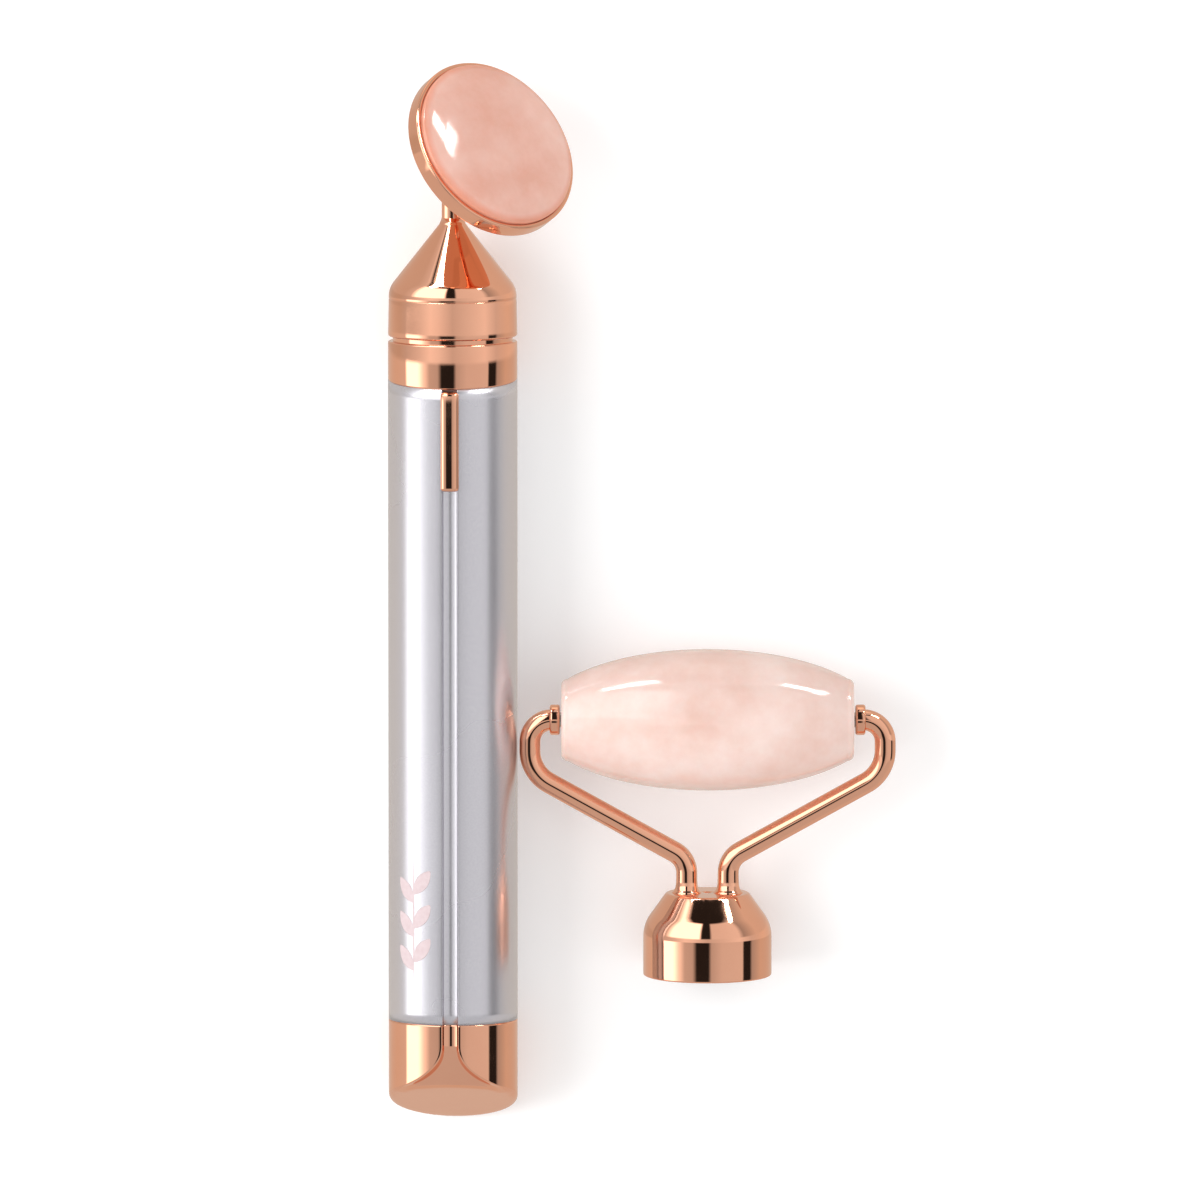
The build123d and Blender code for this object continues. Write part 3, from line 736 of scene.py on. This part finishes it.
def makeNeck():
    # round wire along a straight run, one tangent arc and a second run to the cup's back,
    # spreading as r = neck + flare * exp(-(distance to the cup) / 0.8)
    center, normal, _ = discFrame()
    start = wandSpot(0.0, head["socketEnd"] + 0.2, 0.0, False)
    corner = wandSpot(0.0, head["neckCorner"], 0.0, False)
    end = center + normal * (disc["back"] + 0.1) * mm
    path = filletPath([start, corner, end], [head["neckBend"] * mm], 0.35 * mm)
    toCup = np.linalg.norm(path - end, axis=1) / mm
    radii = (head["neck"] + 0.9 * np.exp(-toCup / 0.8)) * mm
    binormal = np.cross(wandAxis, normal)
    binormal /= np.linalg.norm(binormal)
    grid = sweptGrid(path, radii, 48, binormal)
    return gridPiece("neck_rod", grid, startPole=path[0], endPole=path[-1])


def makeCup():
    # turned cup about the disc's normal: domed back, rounded rim and a lip round the stone
    center, normal, side = discFrame()
    corners = [
        (0.0, disc["back"], 0), (6.0, disc["back"], 8.0), (12.4, -2.2, 3.0), (disc["radius"], -1.5, 0.4),
        (disc["radius"], disc["lipTop"], 0.3), (disc["lip"], disc["lipTop"], 0.12),
        (disc["lip"], -0.7, 0), (0.0, -0.7, 0)]
    profile = denser(roundedProfile(corners, 10), 0.7)
    profile = profile[profile[:, 0] > 1e-6]
    grid = turnedGrid(profile, disc["columns"], center, normal, side)
    backPole = center + normal * disc["back"] * mm
    floorPole = center - normal * 0.7 * mm
    return gridPiece("stone_cup_shell", grid, startPole=backPole, endPole=floorPole)


def makeDiscStone():
    # cabochon: height = edge + (top - edge) * (1 - (r / R)^2.6)^0.6, then straight down its side
    center, normal, side = discFrame()
    t = np.linspace(0.02, 1, 70)
    r = disc["stone"] * np.sin(t * math.pi / 2)
    edge = disc["stoneEdge"]
    dome = edge + (disc["stoneTop"] - edge) * np.maximum(1 - (r / disc["stone"]) ** 2.6, 0) ** 0.6
    side0 = np.array([[disc["stone"], -0.3], [disc["stone"] - 0.2, -0.5], [6.0, -0.5], [1.0, -0.5]])
    profile = np.vstack([np.stack([r, dome], -1), side0])
    grid = turnedGrid(profile, disc["columns"], center, normal, side)
    topPole = center + normal * disc["stoneTop"] * mm
    lowPole = center - normal * 0.5 * mm
    return gridPiece("disc_stone", grid, startPole=topPole, endPole=lowPole)


headPieces = (
    (makeHeadCone(), "head_cone", "rose_gold", gold),
    (makeNeck(), "neck_stem", "rose_gold", gold),
    (makeCup(), "stone_cup", "rose_gold", gold),
    (makeDiscStone(), "massage_stone", "rose_quartz", discQuartz),
)
for piece, node, slotName, finish in headPieces:
    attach(piece, "massage_head")
    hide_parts(node)
    piece.data.materials.append(finish)
print("massage head made")


roller = {
    "collar": 9.45, "collarTop": 12.2, "shoulder": 7.5, "shoulderRound": 5.5,
    "topRadius": 6.1, "socket": 7.42, "socketEnd": 8.5,
    "wire": 1.55, "rootX": 3.05, "rootHeight": 9.5, "kneeHeight": 17.2, "elbowHeight": 30.0,
    "halfWidth": 26.1, "endX": 22.5, "bends": (3.5, 5.5, 3.2),
    "ferrule": 2.25, "ferruleStart": 21.7, "ferruleEnd": 23.2,
    "stoneHalf": 21.5, "belly": 10.4, "ellipse": 25.3, "endRound": 0.9, "bore": 2.6,
}


def makeRollerCollar():
    # turned shell about the collar's axis: straight wall, rounded shoulder, sloping top
    corners = [
        (roller["socket"], 0.0, 0), (roller["collar"], 0.0, 0.25),
        (roller["collar"], roller["shoulder"], roller["shoulderRound"]),
        (roller["topRadius"], roller["collarTop"], 0.6),
        (0.0, roller["collarTop"], 0), (0.0, roller["socketEnd"], 0),
        (roller["socket"], roller["socketEnd"], 0)]
    profile = denser(roundedProfile(corners, 10), 0.6)
    profile = profile[profile[:, 0] > 1e-6]
    split = int(np.argmax(profile[:, 1] < 0.01))
    profile = np.roll(profile, -split, axis=0)
    grid = turnedGrid(profile, 192, rollerHead["rim"], collarAxis, rollerHead["side"])
    return gridPiece("roller_collar_shell", grid, wrapRows=True)


def makeForkArm(side, name):
    # round wire along straight runs and tangent arcs; its foot spreads into the collar as
    # r = wire + 0.7 * exp(-(height above the collar) / 0.45)
    corners = [
        rollerSpot(side * roller["rootX"], roller["rootHeight"]),
        rollerSpot(side * roller["rootX"], roller["kneeHeight"]),
        rollerSpot(side * roller["halfWidth"], roller["elbowHeight"]),
        rollerSpot(side * roller["halfWidth"], rollerHead["axisHeight"]),
        rollerSpot(side * roller["endX"], rollerHead["axisHeight"])]
    path = filletPath(corners, [bend * mm for bend in roller["bends"]], 0.3 * mm)
    height = (path - rollerHead["rim"]) @ collarAxis / mm - roller["collarTop"]
    foot = np.where(height > -0.5, 0.7 * np.exp(-np.maximum(height, 0) / 0.45), 0)
    normal = np.cross(rollerHead["side"], collarAxis)
    grid = sweptGrid(path, (roller["wire"] + foot) * mm, 40, normal)
    return gridPiece("fork_wire_" + name, grid, startPole=path[0], endPole=path[-1])


def makeFerrule(side, name):
    # turned ferrule with rounded edges round the end of the wire and the axle pin
    start, end = sorted((side * roller["ferruleStart"], side * roller["ferruleEnd"]))
    corners = [(1.12, start, 0), (roller["ferrule"], start, 0.35),
               (roller["ferrule"], end, 0.35), (1.12, end, 0)]
    profile = denser(roundedProfile(corners, 6), 0.4)
    grid = turnedGrid(profile, 64, spinPlace, rollerHead["side"], collarAxis)
    return gridPiece("ferrule_ring_" + name, grid, wrapRows=True)


def makeRollerStone():
    # barrel, r = R * sqrt(1 - (x / A)^2), with rounded end edges and a straight bore
    half, edge = roller["stoneHalf"], roller["endRound"]
    x = np.linspace(-half + edge, half - edge, 140)
    body = np.stack([roller["belly"] * np.sqrt(1 - (x / roller["ellipse"]) ** 2), x], -1)
    t = np.linspace(0, math.pi / 2, 10)[1:]
    endRadius = body[-1, 0]
    right = np.stack([endRadius - edge * (1 - np.cos(t)), half - edge + edge * np.sin(t)], -1)
    left = right[::-1] * np.array([1, -1])
    bore = np.array([[roller["bore"] + 0.02, half], [roller["bore"] + 0.02, -half]])
    flat = np.array([[4.0, half]])
    profile = np.vstack([left, body, right, flat, bore, flat * np.array([1, -1])])
    grid = turnedGrid(profile, 200, spinPlace, rollerHead["side"], collarAxis)
    return gridPiece("barrel_stone", grid, wrapRows=True)


rollerPieces = [
    (makeRollerCollar(), "roller_head", "roller_head_collar", "rose_gold", gold),
    (makeRollerStone(), "roller", "roller_stone", "pale_rose_quartz", paleQuartz),
]
for name, side in (("left", -1), ("right", 1)):
    rollerPieces.append((makeForkArm(side, name), "roller_head", "fork_arm_" + name, "rose_gold", gold))
    rollerPieces.append((makeFerrule(side, name), "roller_head", "ferrule_" + name, "rose_gold", gold))
for piece, body, node, slotName, finish in rollerPieces:
    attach(piece, body)
    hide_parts(node)
    piece.data.materials.append(finish)
print("roller head made")


innerFinish = {
    "black_plastic": blackAbs, "white_plastic": whiteAcetal, "rubber": siliconeRubber, "brass": brass,
    "contact_steel": nickelSteel, "sintered_weight": sintered, "copper_winding": copperWire,
    "circuit_board": solderMask, "cell_jacket": cellJacket, "clear_glue": epoxy, "rose_gold": gold,
}
slots = {entry["node"]: entry["material_slot"] for entry in frame["record"]["subparts"]}
for node, shape in frame["nodes"].items():
    finish = innerFinish.get(slots[node])
    if finish:
        shape.data.materials.clear()
        shape.data.materials.append(finish)
print("inner pieces finished")


studio = {
    "floorDark": "F6F6F6", "floorLight": "F9F9F9", "floorRadius": 4.0,
    "floorGlow": 0.14,  # a light table under thin paper keeps the shadows soft and pale
    "ambient": 0.80, "keyPower": 9.0, "fillPower": 2.0,
    "discWindow": 0.7, "barrelWindow": 1.2, "windowReach": 0.8,
}


def makeFloor():
    # round sheet: x = R cos a, y = R sin a, with a pole in the middle
    a = np.linspace(0, 2 * math.pi, 96, endpoint=False)
    rim = np.stack([np.cos(a), np.sin(a), 0 * a], -1) * studio["floorRadius"]
    verts = np.vstack([rim, [[0, 0, 0]]])
    faces = [[i, (i + 1) % 96, 96] for i in range(96)]
    mesh = bpy.data.meshes.new("floor")
    mesh.from_pydata(verts.tolist(), [], faces)
    floor = bpy.data.objects.new("floor", mesh)
    bpy.context.scene.collection.objects.link(floor)
    material, tree, shader = newMaterial("matte_white_paper")
    spot = addNode(tree, "ShaderNodeTexCoord").outputs["Object"]
    tooth = addNode(tree, "ShaderNodeTexNoise", values={"Scale": 900.0}, links={"Vector": spot})
    paper = addNode(tree, "ShaderNodeMix", {"data_type": "RGBA"},
                    {6: hexToLinear(studio["floorDark"]), 7: hexToLinear(studio["floorLight"])},
                    {0: tooth.outputs["Fac"]})
    tree.links.new(paper.outputs[2], shader.inputs["Base Color"])
    shader.inputs["Roughness"].default_value = 0.8
    shader.inputs["Specular IOR Level"].default_value = 0.1
    shader.inputs["Emission Color"].default_value = (1, 1, 1, 1)
    shader.inputs["Emission Strength"].default_value = studio["floorGlow"]
    mesh.materials.append(material)
    floor.visible_glossy = False


room = {
    # what polished metal sees, as (degrees, level) by the angle about Y from straight up;
    # one row of strips for each band of the direction's y
    "ends": [(-180, 0.62), (-95, 0.66), (-60, 0.62), (0, 0.60), (60, 0.62), (95, 0.66), (180, 0.62)],
    "strips": [
        (-180, 0.60), (-120, 0.66), (-94, 0.72), (-89, 2.6), (-66, 2.6), (-54, 1.3), (-42, 0.63),
        (-27, 0.56),
        (-20, 0.02), (2, 0.02), (7, 0.55), (26, 0.72), (66, 0.76), (69, 0.02), (83, 0.02), (88, 0.45),
        (110, 0.62), (180, 0.60)],
    "soft": [
        (-180, 0.55), (-110, 0.52), (-90, 0.60), (-62, 0.80), (-40, 1.05), (-25, 0.95), (0, 0.66),
        (30, 0.80),
        (60, 0.95), (85, 0.70), (120, 0.75), (180, 0.60)],
    "shoulder": [
        (-180, 0.60), (-100, 0.60), (-82, 0.75), (-70, 2.4), (-16, 2.4), (-11, 0.02), (4, 0.02), (8, 0.80),
        (60, 0.90), (70, 0.40), (100, 0.70), (180, 0.60)],
    "far": [
        (-180, 1.1), (-95, 0.75), (-50, 0.55), (-34, 0.60), (-31, 0.02), (-9, 0.02), (-6, 0.75), (60, 0.66),
        (180, 1.1)],
    "bands": [(-0.34, -0.28), (-0.07, -0.05), (0.10, 0.16), (0.90, 0.94)],
    "darkBand": (0.80, 0.84, 0.89, 0.92),
}


def makeWorld():
    # plain pale room for the camera and for soft light; polished metal sees a studio of pale
    # walls, a bright window on the left and dark screens
    world = bpy.data.worlds.new("studio")
    bpy.context.scene.world = world
    world.use_nodes = True
    tree = world.node_tree
    tree.nodes.clear()
    direction = addNode(tree, "ShaderNodeTexCoord").outputs["Generated"]
    split = addNode(tree, "ShaderNodeSeparateXYZ", links={"Vector": direction})
    angle = addNode(tree, "ShaderNodeMath", {"operation": "ARCTAN2"},
                    links={0: split.outputs["X"], 1: split.outputs["Z"]})
    share = addNode(tree, "ShaderNodeMapRange", values={"From Min": -math.pi, "From Max": math.pi},
                    links={"Value": angle.outputs[0]})
    ramps = []
    for name in ("ends", "strips", "soft", "shoulder", "far"):
        ramp = addNode(tree, "ShaderNodeValToRGB", links={"Fac": share.outputs["Result"]})
        elements = ramp.color_ramp.elements
        elements.remove(elements[0])
        for i, (degrees, level) in enumerate(room[name]):
            stop = elements[0] if i == 0 else elements.new(degrees / 360 + 0.5)
            stop.position = degrees / 360 + 0.5
            # below the horizon the light comes back from the table a little warm
            warm = min(max((abs(degrees) - 88) / 20, 0), 1)
            stop.color = (level / 3 * (1 + 0.10 * warm), level / 3, level / 3 * (1 - 0.12 * warm), 1)
        ramps.append(ramp.outputs["Color"])
    seen = ramps[0]
    for ramp, (low, high) in zip(ramps[1:], room["bands"]):
        step = addNode(tree, "ShaderNodeMapRange", values={"From Min": low, "From Max": high},
                       links={"Value": split.outputs["Y"]})
        seen = addNode(tree, "ShaderNodeMix", {"data_type": "RGBA"},
                       links={0: step.outputs["Result"], 6: seen, 7: ramp}).outputs[2]
    a, b, c, d = room["darkBand"]
    rise = addNode(tree, "ShaderNodeMapRange", values={"From Min": a, "From Max": b},
                   links={"Value": split.outputs["Y"]})
    fall = addNode(tree, "ShaderNodeMapRange",
                   values={"From Min": c, "From Max": d, "To Min": 1.0, "To Max": 0.0},
                   links={"Value": split.outputs["Y"]})
    above = addNode(tree, "ShaderNodeMapRange", values={"From Min": 0.08, "From Max": 0.14},
                    links={"Value": split.outputs["Z"]})
    band = addNode(tree, "ShaderNodeMath", {"operation": "MULTIPLY"},
                   links={0: rise.outputs["Result"], 1: fall.outputs["Result"]})
    band = addNode(tree, "ShaderNodeMath", {"operation": "MULTIPLY"},
                   links={0: band.outputs[0], 1: above.outputs["Result"]})
    seen = addNode(tree, "ShaderNodeMix", {"data_type": "RGBA"}, {7: (0.007, 0.007, 0.007, 1)},
                   {0: band.outputs[0], 6: seen}).outputs[2]
    rays = addNode(tree, "ShaderNodeLightPath")
    glossy = addNode(tree, "ShaderNodeBackground", values={"Strength": 3.0}, links={"Color": seen})
    soft = addNode(tree, "ShaderNodeBackground",
                   values={"Color": (1, 1, 1, 1), "Strength": studio["ambient"]})
    pale = addNode(tree, "ShaderNodeBackground", values={"Color": (0.97, 0.97, 0.97, 1), "Strength": 1.0})
    first = addNode(tree, "ShaderNodeMixShader", links={0: rays.outputs["Is Glossy Ray"],
                                                        1: soft.outputs[0], 2: glossy.outputs[0]})
    second = addNode(tree, "ShaderNodeMixShader", links={0: rays.outputs["Is Camera Ray"],
                                                         1: first.outputs[0], 2: pale.outputs[0]})
    addNode(tree, "ShaderNodeOutputWorld", links={"Surface": second.outputs[0]})


def makeLamp(name, place, target, size, power, glossyOnly=False):
    # rectangular lamp turned to look from its place to its target; the soft lamps don't show in
    # reflections, and the small windows show only there
    data = bpy.data.lights.new(name, "AREA")
    data.shape, data.energy = "RECTANGLE", power
    data.size, data.size_y = size
    lamp = bpy.data.objects.new(name, data)
    lamp.location = place
    lamp.rotation_euler = (Vector(target) - Vector(place)).to_track_quat("-Z", "Y").to_euler()
    lamp.visible_glossy = glossyOnly
    lamp.visible_diffuse = not glossyOnly
    bpy.context.scene.collection.objects.link(lamp)


cameraView = {
    "tilt": math.radians(5.5),  # towards the massage head
    "lens": 500.0, "sensor": 36.0,  # long lens, so the far end is hardly smaller
    "frameWidth": 176.73,  # millimetres of the table across the frame
    "right": 21.6, "up": 72.6,  # the frame's middle, from the wand's axis and its end
    "endY": 3.84,
}


def makeCamera():
    # above the table, looking down on the wand with the given tilt
    tilt = cameraView["tilt"]
    frameWidth = cameraView["frameWidth"] * mm
    data = bpy.data.cameras.new("camera")
    data.lens, data.sensor_width = cameraView["lens"], cameraView["sensor"]
    camera = bpy.data.objects.new("camera", data)
    bpy.context.scene.collection.objects.link(camera)
    distance = frameWidth * data.lens / data.sensor_width
    right = wand["axisX"] + cameraView["right"] * mm
    back = np.array([0, math.sin(tilt), math.cos(tilt)])
    up = np.array([0, math.cos(tilt), -math.sin(tilt)])
    endMiddle = np.array([right, wand["zeroY"] + cameraView["endY"] * mm, wand["axisZ"]])
    middle = endMiddle + up * cameraView["up"] * mm
    camera.location = middle + back * distance
    camera.rotation_euler = (-tilt, 0, 0)
    data.clip_end = 50
    bpy.context.scene.camera = camera


scene = bpy.context.scene
scene.view_settings.view_transform = "Standard"
scene.view_settings.look = "None"
makeFloor()
makeWorld()
makeLamp("key", (-0.95, 0.1, 0.75), (0, 0, 0), (0.9, 0.9), studio["keyPower"])
makeLamp("fill", (0.6, -0.4, 1.0), (0, 0, 0), (1.0, 1.0), studio["fillPower"])
# name, stone it shows on, direction from that stone, size and power
windows = (
    ("discWindow", discFrame()[0], (0.638, 0.729, 0.245), (0.07, 0.16), studio["discWindow"]),
    ("barrelWindowLeft", spinPlace, (-0.36, 0.90, 0.25), (0.26, 0.10), studio["barrelWindow"]),
    ("barrelWindowRight", spinPlace, (0.43, 0.87, 0.25), (0.16, 0.08), studio["barrelWindow"]),
)
for name, spot, way, size, power in windows:
    place = spot + np.array(way) * studio["windowReach"]
    makeLamp(name, place.tolist(), spot.tolist(), size, power, True)
makeCamera()
print("stage made")
